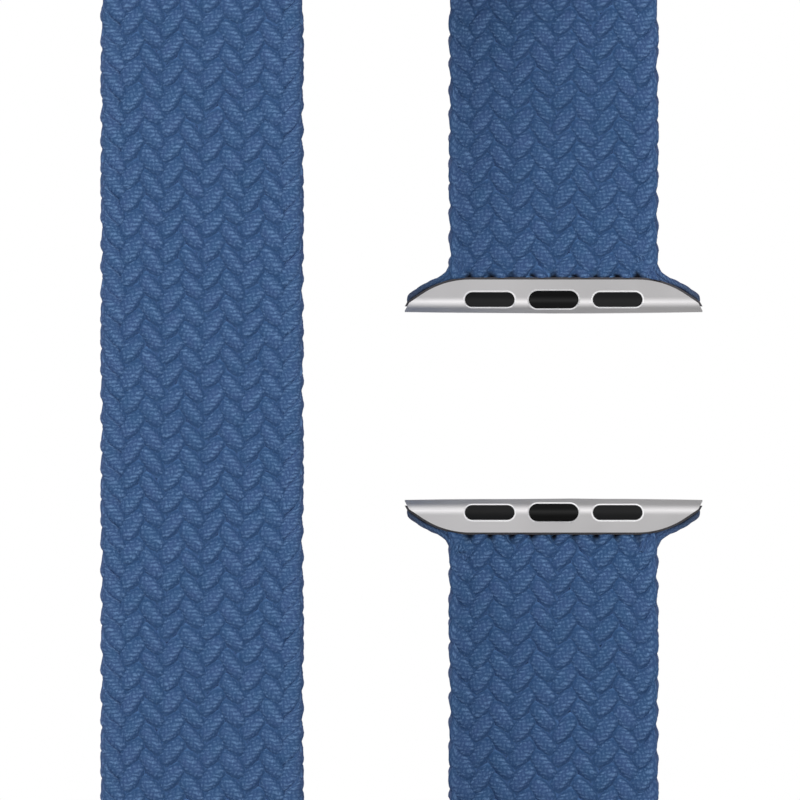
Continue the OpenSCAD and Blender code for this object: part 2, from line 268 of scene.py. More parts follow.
# %% [markdown]
# Thin round cords would leave gaps at the crossings. Real soft cords press each other
# flat, so the section here is a low oval, as wide as the spacing of the cords, and it
# grows or shrinks where the band's own bending spreads or crowds them. No two floats
# are quite alike, so each cord also strays a little along its course and in its width.

# %% Tubes from courses
RING = 12
SHAKE = 0.035
SWELL = 0.09
SECTION_POWER = 1.6
AHEAD = 0.1
SPREAD_LIMITS = (0.45, 1.35)
EDGE_FULLNESS = 0.2
FULLER_FROM = 3.2


def unit(v):
    """Vectors divided by their own length."""
    return v / np.maximum(np.linalg.norm(v, axis=-1, keepdims=True), 1e-12)


def cord_grid(first, last):
    """Vertices of all cords between two places on the way, as cords x steps x ring.
    A vertex is centre + S a c(t) + N b s(t), where S and N lie across the cord, c is
    the cosine and s the sine raised to 1.6, which lets the flanks fall away early.
    Two sines with a phase of their own for each cord make it stray and swell, and the
    cords grow fuller over the last two columns."""
    steps = max(4, round((last - first) / PITCH * STEPS_PER_PITCH))
    step = (last - first) / steps
    s = first + step * np.arange(-1, steps + 2)
    cord = np.arange(CORDS)[:, None]
    u = s[None, :] / PITCH + cord * (COLUMNS + 2 * EDGE_OVERRUN) * 2 / CORDS
    shake = np.sin(1.7 * u + 2.4 * cord) + np.sin(2.9 * u + 4.1 * cord)
    swell = np.sin(2.3 * u + 5.3 * cord)
    across, height, roll, rightwards = course(u + SHAKE * shake)
    s = np.broadcast_to(s, u.shape)
    centre, width, out, scale = way(s)
    line = centre + width * (across * scale)[..., None] + out * height[..., None]
    ahead, ahead_width, _, ahead_scale = way(s + AHEAD)
    beside = ahead + ahead_width * (across * ahead_scale)[..., None]
    spread = np.linalg.norm(beside - centre - width * (across * scale)[..., None],
                            axis=-1) / AHEAD
    along = unit(np.gradient(line, axis=1))
    up = unit(out - along * np.sum(out * along, -1, keepdims=True))
    side = np.cross(along, up)
    turned_side = side * np.cos(roll)[..., None] + up * np.sin(roll)[..., None]
    turned_up = up * np.cos(roll)[..., None] - side * np.sin(roll)[..., None]
    t = 2 * np.pi * np.arange(RING) / RING
    c = np.cos(t)
    d = np.sign(np.sin(t)) * np.abs(np.sin(t)) ** SECTION_POWER
    fuller = 1 + EDGE_FULLNESS * np.clip(np.abs(across) / COLUMN - FULLER_FROM, 0, 1)
    half_width = CORD_HALF_WIDTH * np.clip(spread, *SPREAD_LIMITS) * (1 + SWELL * swell)
    half_width = (half_width * fuller)[..., None, None]
    grid = (line[:, :, None, :]
            + turned_side[:, :, None, :] * half_width * c[None, None, :, None]
            + turned_up[:, :, None, :] * CORD_HALF_THICKNESS * d[None, None, :, None])
    from_middle = np.sum((grid - centre[:, :, None]) * width[:, :, None], -1)
    grid = grid + width[:, :, None] * settle_edge(from_middle, scale)[..., None]
    height = np.sum((grid - centre[:, :, None]) * out[:, :, None], -1)
    lift = lift_of_cords(height, from_middle, across, roll, scale, c)
    length = np.linalg.norm(np.diff(line, axis=1), axis=-1).cumsum(axis=1)
    return grid[:, 1:-1], length[:, :-1], rightwards[:, 1:-2], lift[:, 1:-1]


print("a tube has", RING, "sides and", STEPS_PER_PITCH, "rings to a pitch")


# %% [markdown]
# Blender would also make a tube from a curve with a bevel, but then the section could
# not be an oval that turns and swells. So the grids become meshes directly, with
# closed ends, and each face knows its place along and round its cord as a UV map.

# %% Meshes from grids
def facing_out(grid):
    """Reverses the rings of tubes that run the wrong way round for outward faces, which
    the sign of (a x b) . along shows, with a and b two arms of a ring."""
    middle = grid.shape[1] // 2
    centre = grid[:, middle].mean(axis=1)
    along = grid[:, middle + 1].mean(axis=1) - centre
    arms = np.cross(grid[:, middle, 0] - centre, grid[:, middle, RING // 4] - centre)
    wrong = np.sum(arms * along, -1) > 0
    return np.where(wrong[:, None, None, None], grid[:, :, ::-1], grid)


def tube_mesh(name, grid, length, girth, mirrored_stitch=None, shades=()):
    """A mesh of closed tubes from cords x steps x ring points. Its UVs are millimetres:
    the first is the length along the cord, the second the way round it, which counts
    backwards on some faces so that one family of stitches is always the level one."""
    cords, steps, ring = grid.shape[:3]
    index = np.arange(cords * steps * ring).reshape(cords, steps, ring)
    here, there = index[:, :-1], index[:, 1:]
    quads = np.stack([here, there, np.roll(there, -1, 2), np.roll(here, -1, 2)], -1)
    caps = np.concatenate([index[:, 0, :], index[:, -1, ::-1]])
    loops = np.concatenate([quads.ravel(), caps.ravel()])
    face_count = quads.size // 4
    starts = np.concatenate([np.arange(face_count) * 4,
                             face_count * 4 + np.arange(len(caps)) * ring])
    mesh = bpy.data.meshes.new(name)
    mesh.vertices.add(index.size)
    mesh.vertices.foreach_set("co", (grid * MM).astype(np.float32).ravel())
    mesh.loops.add(len(loops))
    mesh.loops.foreach_set("vertex_index", loops.astype(np.int32))
    mesh.polygons.add(len(starts))
    mesh.polygons.foreach_set("loop_start", starts.astype(np.int32))
    mesh.polygons.foreach_set("use_smooth", np.ones(len(starts), bool))
    shape = (cords, steps - 1, ring)
    near, far = length[:, :-1, None] + np.zeros(shape), length[:, 1:, None] + np.zeros(shape)
    left = np.arange(ring) * girth / ring + np.zeros(shape)
    right = left + girth / ring
    if mirrored_stitch is not None:
        left, right = left * mirrored_stitch, right * mirrored_stitch
    uvs = np.stack([np.stack([near, far, far, near], -1),
                    np.stack([left, left, right, right], -1)], -1)
    uvs = np.concatenate([uvs.reshape(-1, 2), np.zeros((caps.size, 2))])
    mesh.uv_layers.new(name="cord_way").data.foreach_set("uv", uvs.astype(np.float32).ravel())
    for label, values in shades:
        shade = mesh.attributes.new(label, "FLOAT", "POINT")
        values = np.broadcast_to(values, grid.shape[:3])
        shade.data.foreach_set("value", values.astype(np.float32).ravel())
    mesh.update(calc_edges=True)
    return mesh


def add_piece(name, mesh):
    """An object at the origin that shows the mesh."""
    piece = bpy.data.objects.new(name, mesh)
    bpy.context.scene.collection.objects.link(piece)
    return piece


# %% [markdown]
# At a lug the cords go into the metal, pressed flat, and small notches are left between
# their ends, whose near-black is painted shade. A boolean cut would leave ragged open
# tubes. So points that would be inside the lug are pushed out to its outline, which has a
# straight top, round shoulders, slopes and steep noses, and close to the metal the braid
# is pressed level and dipped between its columns.

# %% The lug's outline
LUG_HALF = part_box("upper_shell")[1].x / MM
LUG_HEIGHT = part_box("upper_shell")[1].z / MM - TIP_Z
SHOULDER_R = 9.0
TIP_SLOPE = math.radians(34)
SLOPE_END_HEIGHT = 0.65
NOSE_LENGTH = 0.45
TIP_HEIGHT = 0.15
SEAL = 0.22
NOSE_LIP = 0.06
FABRIC_SINK = 0.04
slope_normal = np.array([math.sin(TIP_SLOPE), math.cos(TIP_SLOPE)])
shoulder_z = LUG_HEIGHT - SHOULDER_R
shoulder_x = (slope_normal @ [LUG_HALF, SLOPE_END_HEIGHT] - SHOULDER_R
              - slope_normal[1] * shoulder_z) / slope_normal[0]
nose = np.array([LUG_HALF - NOSE_LENGTH,
                 SLOPE_END_HEIGHT + NOSE_LENGTH * math.tan(TIP_SLOPE)])
NOSE_SLOPE = math.atan2(nose[1] - TIP_HEIGHT, NOSE_LENGTH)
nose_normal = np.array([math.sin(NOSE_SLOPE), math.cos(NOSE_SLOPE)])


def push_out_of_lugs(grid):
    """Moves points off both lugs. One distance is from the rounded bar, |p - q| - r with
    q on the line between the shoulder centres, or n . (p - q) - r past the end of its
    arc. The other is from the steep nose, n . (p - nose). A point that is inside both
    grown outlines goes straight out of the one whose edge is nearer."""
    sign = np.where(grid[..., 2] < 0, -1.0, 1.0)
    side = np.where(grid[..., 0] < 0, -1.0, 1.0)
    x, z = np.abs(grid[..., 0]), np.abs(grid[..., 2]) - TIP_Z
    dx, dz = np.maximum(x - shoulder_x, 0), z - shoulder_z
    distance = np.maximum(np.hypot(dx, dz), 1e-6)
    on_slope = dx > dz * math.tan(TIP_SLOPE)
    nx = np.where(on_slope, slope_normal[0], dx / distance)
    nz = np.where(on_slope, slope_normal[1], dz / distance)
    bar_short = SEAL - FABRIC_SINK - (nx * dx + nz * dz - SHOULDER_R)
    nose_short = NOSE_LIP - (x - nose[0]) * nose_normal[0] - (z - nose[1]) * nose_normal[1]
    on_nose = nose_short < bar_short
    nx, nz = np.where(on_nose, nose_normal[0], nx), np.where(on_nose, nose_normal[1], nz)
    short = np.maximum(np.minimum(bar_short, nose_short), 0)
    moved = grid.copy()
    moved[..., 0] = side * (x + nx * short)
    moved[..., 2] = sign * (TIP_Z + z + nz * short)
    return moved


print("lug half length", round(LUG_HALF, 2), "shoulder centre", round(shoulder_x, 2))

# %% The press and the notches at the metal
TUCK_REACH = 1.2
TUCK_DEPTH = 0.75
TUCK_COLUMNS = 4.5
NOTCH_POWER = 14
PRESS_REACH = 1.6
PRESS_GAIN = 1.3
PRESS_HEIGHT = 0.9


def tuck_in(grid):
    """Presses the braid level close to a lug and dips it between its columns. With d
    the distance from the metal, a cord's centre goes out to the press height by the
    share 1.3 (1 - d / press_reach). The dip is the share f g, f = (1 - d / reach)^1.5
    and g = |cos(pi x / column)|^14, which peaks between columns. Returns points, and f g,
    which the material uses as painted shade in the notches."""
    x, z = grid[..., 0], np.abs(grid[..., 2]) - TIP_Z
    gap = np.hypot(x - np.clip(x, -shoulder_x, shoulder_x), z - shoulder_z) - SHOULDER_R
    press = np.clip(PRESS_GAIN * (1 - gap / PRESS_REACH), 0, 1)
    middle = grid[..., 1].mean(axis=2, keepdims=True)
    target = PRESS_HEIGHT * np.sign(middle) - middle
    dipped = grid.copy()
    dipped[..., 1] += press * np.where(np.abs(middle) < FLOAT_HEIGHT, target, 0)
    f = np.clip(1 - gap / TUCK_REACH, 0, 1) ** 1.5
    g = np.abs(np.cos(np.pi * x / COLUMN / RUN_SPREAD)) ** NOTCH_POWER
    g = g * (np.abs(x) < TUCK_COLUMNS * COLUMN)
    dipped[..., 1] *= 1 - TUCK_DEPTH * f * g
    return dipped, f * g


# %% Braid pieces
GIRTH = 5.1
ENTRY_DEPTH = 0.75
entry = LUG_HEIGHT + SEAL - ENTRY_DEPTH
cuts = {
    "braid_upper_run": (entry, run_way),
    "braid_upper_turn": (run_way, run_way + turn_way),
    "braid_back_run": (run_way + turn_way, way_total - run_way - turn_way),
    "braid_lower_turn": (way_total - run_way - turn_way, way_total - run_way),
    "braid_lower_run": (way_total - run_way, way_total - entry),
}
braid = {}
for name, (first, last) in cuts.items():
    grid, length, rightwards, lift = cord_grid(first, last)
    outer = np.arange(RING) < RING // 2
    mirrored_stitch = np.where(rightwards[..., None] == outer, -1, 1)
    # no painted notch shade away from the lugs
    notch_shade = np.zeros(grid.shape[:3])
    if name.endswith("er_run"):
        grid, notch_shade = tuck_in(push_out_of_lugs(grid))
    mesh = tube_mesh(name, grid, length, GIRTH, mirrored_stitch,
                     (("notch_shade", notch_shade), ("lift", lift)))
    braid[name] = add_piece(name, mesh)
    print(name, len(braid[name].data.polygons), "faces")

# %% [markdown]
# Beside each shoulder of the lug the edge cords of the braid go on down to the tip,
# as a narrow rim of fabric round the metal. They could be fanned out of the braid, but
# no crossing can be told apart there. So they are four outer cords one behind another,
# laid along the hollow curve at the strap's edge and then along the shoulder, with
# shorter rows inside them that fill the corner where braid and rim part.

# %% Rim cords round the shoulders
FAN_MARGIN = 0.75
FILLET_R = 2.3
RIM_DEPTHS = (-1.02, -0.34, 0.34, 1.02)
RIM_ROWS = ((0.0, 1.0), (0.42, 0.66), (0.84, 0.52), (1.26, 0.42))
RIM_STEPS = 80
RIM_EDGE_IN = 0.4
RIM_END_IN = 0.48
RIM_HALF_DEPTH = 0.42
RIM_WAVE = 0.05
RIM_GIRTH = 2.6
RIM_LIFT = 0.92
NOSE_BEND = ((0.11, -0.12), (0.16, -0.34), (0.16, -0.6), (0.16, -0.85))


def rim_path():
    """Centre of a rim cord in the plane of the lug: down inside the strap's edge, round
    the hollow curve, along the shoulder at half the margin, down the slope, and at the
    lug's end a short bend straight down over the nose."""
    centre_offset = SEAL + (FAN_MARGIN - SEAL) / 2
    reach = SHOULDER_R + centre_offset
    hollow = FILLET_R + FAN_MARGIN - centre_offset
    edge = STRAP_WIDTH / 2 - RIM_EDGE_IN
    curve_x = edge + hollow
    curve_z = shoulder_z + math.sqrt((reach + hollow) ** 2 - (curve_x - shoulder_x) ** 2)
    touch = math.atan2(curve_z - shoulder_z, curve_x - shoulder_x)
    a = np.linspace(math.pi, math.pi + touch, 12)
    b = np.linspace(touch, math.pi / 2 - TIP_SLOPE, 16)
    start = [[edge - 0.9, curve_z + 0.9], [edge - 0.35, curve_z + 0.3]]
    round_in = np.stack([curve_x + hollow * np.cos(a), curve_z + hollow * np.sin(a)], -1)
    shoulder = np.stack([shoulder_x + reach * np.cos(b), shoulder_z + reach * np.sin(b)], -1)
    last_x = LUG_HALF - RIM_END_IN
    run_out = last_x - NOSE_BEND[-1][0] - shoulder[-1][0]
    down = np.array([1.0, -math.tan(TIP_SLOPE)]) * run_out
    slope = shoulder[-1] + down * np.linspace(0.2, 1.0, 5)[:, None]
    bend = slope[-1] + np.array(NOSE_BEND)
    points = np.concatenate([start, round_in, shoulder[1:], slope, bend])
    far = np.concatenate([[0], np.linalg.norm(np.diff(points, axis=0), axis=1).cumsum()])
    even = np.linspace(0, far[-1], RIM_STEPS)
    return np.stack([np.interp(even, far, points[:, k]) for k in (0, 1)], -1), even


def rim_grid(sign):
    """Rim cords of one lug as cords x steps x ring. A row is moved towards the metal by
    its inset and ends at its share of the path in a round, where its radius falls as
    the square root of 1 - t^16. At the start the cords lie closer to the mid-plane,
    sunk between the two faces of the braid, and each waves a little as a sine."""
    path, far = rim_path()
    t = far / far[-1]
    along = unit(np.gradient(path, axis=0))
    normal = np.stack([along[:, 1], -along[:, 0]], -1)
    ring = 2 * np.pi * np.arange(RING) / RING
    sunk = (1 - 0.1 * t) * (1 - 0.35 * np.clip(1.3 - t / 0.22, 0, 1))
    cords = []
    for inset, until in RIM_ROWS:
        local = np.clip(t / until, 0, 1)
        taper = np.sqrt(np.clip(1 - local ** 16, 0.0004, 1))
        stop = path[np.minimum(np.arange(RIM_STEPS), int(until * (RIM_STEPS - 1)))]
        stop = stop + (np.arange(RIM_STEPS) * 1e-4)[:, None] * along
        r_plane = ((FAN_MARGIN - SEAL) / 2 + FABRIC_SINK) * taper
        for side in (-1, 1):
            for depth in RIM_DEPTHS:
                wave = inset + RIM_WAVE * np.sin(far * 2.6 + depth * 5)
                off = wave[:, None] + r_plane[:, None] * np.cos(ring)
                x = stop[:, None, 0] + normal[:, None, 0] * off
                z = stop[:, None, 1] + normal[:, None, 1] * off
                y = (depth * sunk)[:, None] + RIM_HALF_DEPTH * taper[:, None] * np.sin(ring)
                cords.append(np.stack([side * x, y, sign * (TIP_Z + z)], -1))
    return np.stack(cords), np.broadcast_to(far, (len(cords), RIM_STEPS))


rims = {}
for name, sign in (("upper", 1), ("lower", -1)):
    grid, length = rim_grid(sign)
    grid = push_out_of_lugs(grid)
    # painted shade, greyer and a little darker towards the lug's end
    tip_shade = 0.65 * np.clip(length / length.max() * 1.7 - 0.5, 0, 1)[..., None]
    mesh = tube_mesh(name + "_rim_cords", facing_out(grid), length, RIM_GIRTH,
                     shades=(("lift", RIM_LIFT), ("tip_shade", tip_shade)))
    rims[name] = add_piece(name + "_rim_cords", mesh)
    print(rims[name].name, len(rims[name].data.polygons), "faces")

# %% [markdown]
# ## Metal lugs with soft edges
#
# The shell and the cover come from the frame with knife-sharp edges. On the real lug
# the rims of the slots are cut back to a bright chamfer and the other edges are only
# broken. A copy of each is merged and cleaned, then the rims of its slots are chamfered
# in the mesh, more across than down, and get a material of their own whose near-white
# colour is a painted highlight. A Bevel modifier breaks the remaining edges.

# %% Bevelled copies of the metal parts
SLOT_PITCH = 6.7
SLOT_LENGTH = 5.2
SLOT_LINE = 1.3
SLOTS = ((-SLOT_PITCH, 1.55), (0, 1.85), (SLOT_PITCH, 1.55))
RIM_CHAMFER = 0.16
OUTER_RIM_DROP = 0.055
MIDDLE_RIM_DROP = 0.04
EDGE_BREAK = 0.05
FACE_DEPTH = 0.58
LEVEL_WITHIN = 0.55
NEAR_OUTLINE = 0.04
ON_OUTLINE = 0.03


def near_slot(x, z):
    """Distance from a point of the lug's face to the outline of its nearest slot, a bar
    with round ends: |hypot(dx, dz) - r| with dx counted past the straight part."""
    found = []
    for place, height in SLOTS:
        dx = max(abs(x - place) - (SLOT_LENGTH - height) / 2, 0)
        found.append(abs(math.hypot(dx, z - SLOT_LINE) - height / 2))
    return min(found)


def softened_copy(node, name):
    """A merged copy of a metal node with chamfered slot rims and broken edges. The inner
    line of each chamfer is moved back out, which leaves it as wide but shallow."""
    bm = bmesh.new()
    bm.from_mesh(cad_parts[node].data)
    bmesh.ops.remove_doubles(bm, verts=bm.verts, dist=1e-6)
    bmesh.ops.dissolve_limit(bm, angle_limit=math.radians(1.0), verts=bm.verts,
                             edges=bm.edges)
    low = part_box(node)[0]

    def on_rim(edge):
        """True for an edge of a slot on the wrist side, not one that runs inwards."""
        if edge.calc_face_angle(0) < math.radians(30) or low.y > 0:
            return False
        if abs(edge.verts[0].co.y - edge.verts[1].co.y) > LEVEL_WITHIN * MM:
            return False
        inside = [f for f in edge.link_faces if abs(f.normal.y) < 0.3]
        return len(inside) == 1 and all(
            near_slot(v.co.x / MM, abs(v.co.z) / MM - TIP_Z) < NEAR_OUTLINE
            and v.co.y < low.y + FACE_DEPTH * MM for v in edge.verts)

    rim = [e for e in bm.edges if on_rim(e)]
    if rim:
        made = bmesh.ops.bevel(bm, geom=rim, offset=RIM_CHAMFER * MM, offset_type="OFFSET",
                               segments=1, profile=0.5, affect="EDGES", clamp_overlap=False)
        for face in made["faces"]:
            # the second material, whose near-white colour is the rims' painted highlight
            face.material_index = 1
        for v in made["verts"]:
            if near_slot(v.co.x / MM, abs(v.co.z) / MM - TIP_Z) < ON_OUTLINE:
                middle = abs(v.co.x) < SLOT_PITCH / 2 * MM
                drop = MIDDLE_RIM_DROP if middle else OUTER_RIM_DROP
                v.co.y -= (RIM_CHAMFER - drop) * MM
    mesh = bpy.data.meshes.new(name)
    bm.to_mesh(mesh)
    bm.free()
    mesh.polygons.foreach_set("use_smooth", np.ones(len(mesh.polygons), bool))
    mesh.set_sharp_from_angle(angle=math.radians(25))
    piece = add_piece(name, mesh)
    soften = piece.modifiers.new("broken_edges", "BEVEL")
    soften.width = EDGE_BREAK * MM
    soften.segments = 2
    soften.angle_limit = math.radians(50)
    soften.harden_normals = True
    print(name, "rim edges", len(rim), "faces", len(mesh.polygons))
    return piece


metal = {}
for side in ("upper", "lower"):
    metal[side + "_shell"] = softened_copy(side + "_shell", side + "_lug_face")
    metal[side + "_rear_cover"] = softened_copy(side + "_rear_cover", side + "_lug_back")

# %% [markdown]
# ## Materials
#
# Each cord of the braid is itself a fine plait of yarn. Its stitches lie at 45 degrees
# to the cord, so on slanted cords one family of stitches comes out level, and those are
# the short light dashes one sees. The plait is built once as a node group. It reads the
# cord's own UV map, in millimetres, and puts out a height and two masks.

# %% Helpers for node groups
def new_group(name, inputs, outputs):
    """An empty node group with named sockets, and its input and output nodes."""
    group = bpy.data.node_groups.new(name, "ShaderNodeTree")
    for label, kind, value in inputs:
        socket = group.interface.new_socket(name=label, in_out="INPUT", socket_type=kind)
        if value is not None:
            socket.default_value = value
    for label, kind in outputs:
        group.interface.new_socket(name=label, in_out="OUTPUT", socket_type=kind)
    return group, group.nodes.new("NodeGroupInput"), group.nodes.new("NodeGroupOutput")


def feed(tree, socket, value):
    """Sets a plain value on a socket, or links another node's output to it."""
    if isinstance(value, (int, float, tuple)):
        socket.default_value = value
    else:
        tree.links.new(value, socket)


def maths(tree, operation, *values):
    """A Math node fed with numbers or sockets; returns its output socket."""
    node = tree.nodes.new("ShaderNodeMath")
    node.operation = operation
    for socket, value in zip(node.inputs, values):
        feed(tree, socket, value)
    return node.outputs[0]


def axes(tree, vector):
    """The three numbers of a vector, as output sockets."""
    node = tree.nodes.new("ShaderNodeSeparateXYZ")
    tree.links.new(vector, node.inputs[0])
    return node.outputs


# %% The yarn plait group
OVER = 3.0
REPEAT = 4.0
WANDER = 0.45
WANDER_SCALE = 1.8


def build_plait():
    """With a and b the two diagonals of the UV map in stitch widths, yarn i = floor(a)
    lies over yarn j = floor(b) where (j - i) mod 4 is below 3. Its floats are three
    stitches long, those of yarn j one, and each rises as sin(pi across) times the root
    of sin(pi along). Noise moves the map first, because real yarns wander."""
    group, given, result = new_group(
        "yarn_plait",
        [("Vector", "NodeSocketVector", None), ("Stitch", "NodeSocketFloat", 0.3)],
        [("Height", "NodeSocketFloat"), ("Stitch Random", "NodeSocketFloat"),
         ("Family", "NodeSocketFloat")])
    wander = group.nodes.new("ShaderNodeTexNoise")
    wander.inputs["Scale"].default_value = WANDER_SCALE
    moved = group.nodes.new("ShaderNodeVectorMath")
    moved.operation = "MULTIPLY_ADD"
    moved.inputs[1].default_value = (WANDER, WANDER, WANDER)
    group.links.new(given.outputs["Vector"], wander.inputs["Vector"])
    group.links.new(wander.outputs["Color"], moved.inputs[0])
    group.links.new(given.outputs["Vector"], moved.inputs[2])

    def do(operation, *values):
        """One step of arithmetic inside the group."""
        return maths(group, operation, *values)

    u, v = axes(group, moved.outputs[0])[:2]
    size = do("MULTIPLY", given.outputs["Stitch"], math.sqrt(2.0))
    a = do("DIVIDE", do("ADD", u, v), size)
    b = do("DIVIDE", do("SUBTRACT", u, v), size)
    i = do("FLOOR", a)
    j = do("FLOOR", b)
    over = do("LESS_THAN", do("FLOORED_MODULO", do("SUBTRACT", j, i), REPEAT), OVER)
    under = do("SUBTRACT", 1.0, over)
    shifted_b = do("SUBTRACT", b, i)
    shifted_a = do("SUBTRACT", do("SUBTRACT", a, j), 1.0)
    along_over = do("DIVIDE", do("FLOORED_MODULO", shifted_b, REPEAT), OVER)
    along_under = do("DIVIDE", do("FLOORED_MODULO", shifted_a, REPEAT), REPEAT - OVER)

    def hump(along, across):
        """The height of a stitch, from places of 0 to 1 along and across it."""
        rise = do("MAXIMUM", do("SINE", do("MULTIPLY", along, math.pi)), 0.0)
        width = do("SINE", do("MULTIPLY", across, math.pi))
        return do("MULTIPLY", do("POWER", rise, 0.5), width)

    def on_top(first, second):
        """The first value where yarn i is on top, and the second where yarn j is."""
        return do("ADD", do("MULTIPLY", first, over), do("MULTIPLY", second, under))

    height = on_top(hump(along_over, do("FRACT", a)), hump(along_under, do("FRACT", b)))
    float_number = on_top(do("FLOOR", do("DIVIDE", shifted_b, REPEAT)),
                          do("FLOOR", do("DIVIDE", shifted_a, REPEAT)))
    stitch = group.nodes.new("ShaderNodeCombineXYZ")
    for k, value in enumerate((on_top(i, j), float_number, over)):
        group.links.new(value, stitch.inputs[k])
    noise = group.nodes.new("ShaderNodeTexWhiteNoise")
    group.links.new(stitch.outputs[0], noise.inputs["Vector"])
    group.links.new(height, result.inputs["Height"])
    group.links.new(noise.outputs["Value"], result.inputs["Stitch Random"])
    group.links.new(over, result.inputs["Family"])
    return group


plait = build_plait()
print("yarn plait:", len(plait.nodes), "nodes")


# %% [markdown]
# The yarn is a dull blue. Where the light would catch the crown of each stitch a paler
# colour is painted in as highlight, strongest on the stitches that lie level, so it reads
# as short pale dashes, and the smooth flanks of the floats are painted darker as shade.
# An image of cloth would smear on these tubes. Here the colours are mixed by the plait's
# height, by noise and by the lift, which hold on every cord however it turns.

# %% Colours and helpers for materials
def linear(r, g, b):
    """Linear colour from screen values of 0 to 255."""
    return tuple(((v / 255 + 0.055) / 1.055) ** 2.4 if v > 10.3 else v / 255 / 12.92
                 for v in (r, g, b)) + (1.0,)


def new_material(name, **sockets):
    """A material whose Principled sockets get plain values, its tree and its shader."""
    material = bpy.data.materials.new(name)
    material.use_nodes = True
    shader = material.node_tree.nodes["Principled BSDF"]
    for label, value in sockets.items():
        shader.inputs[label.replace("_", " ")].default_value = value
    return material, material.node_tree, shader


def mix_colour(tree, factor, first, second):
    """first (1 - factor) + second factor, from numbers, colours or sockets."""
    node = tree.nodes.new("ShaderNodeMix")
    node.data_type = "RGBA"
    for place, value in ((0, factor), (6, first), (7, second)):
        feed(tree, node.inputs[place], value)
    return node.outputs[2]


def noise_value(tree, vector, scale, detail=2.0):
    """Noise of 0 to 1 with about so many spots to a unit of the vector."""
    node = tree.nodes.new("ShaderNodeTexNoise")
    node.inputs["Scale"].default_value = scale
    node.inputs["Detail"].default_value = detail
    tree.links.new(vector, node.inputs["Vector"])
    return node.outputs["Fac"]


def ramp(tree, value, stops):
    """A level that goes straight from stop to stop, each a place and a level."""
    node = tree.nodes.new("ShaderNodeValToRGB")
    while len(node.color_ramp.elements) < len(stops):
        node.color_ramp.elements.new(0.5)
    for element, (place, level) in zip(node.color_ramp.elements, stops):
        element.position = place
        element.color = (level, level, level, 1)
    tree.links.new(value, node.inputs[0])
    return node.outputs[0]


def bump(tree, shader, height, strength, distance):
    """Lets a height times a distance in metres bend the shading."""
    node = tree.nodes.new("ShaderNodeBump")
    node.inputs["Strength"].default_value = strength
    node.inputs["Distance"].default_value = distance
    tree.links.new(height, node.inputs["Height"])
    tree.links.new(node.outputs[0], shader.inputs["Normal"])


def attribute(tree, name):
    """The value that the mesh keeps under this name."""
    node = tree.nodes.new("ShaderNodeAttribute")
    node.attribute_name = name
    return node.outputs["Fac"]


def object_coordinates(tree):
    """The place on the object in metres."""
    return tree.nodes.new("ShaderNodeTexCoord").outputs["Object"]


# %% Braid material
STITCH = 0.35
# The crown colour is painted highlight mixed with paler fibres; the groove, flank, rim tip and
# notch colours are painted shade; the deep flank colour is painted light.
YARN = linear(42, 71, 107)
YARN_TINTED = linear(51, 72, 112)
CROWN_HIGHLIGHT_AND_FIBRES = linear(88, 117, 154)
GROOVE_SHADE = linear(34, 62, 100)
FLANK_SHADE = linear(40, 69, 106)
DEEP_FLANK_LIGHT = linear(96, 134, 180)
TIP_SHADE_GREY = linear(62, 66, 76)
NOTCH_SHADE = linear(14, 18, 26)


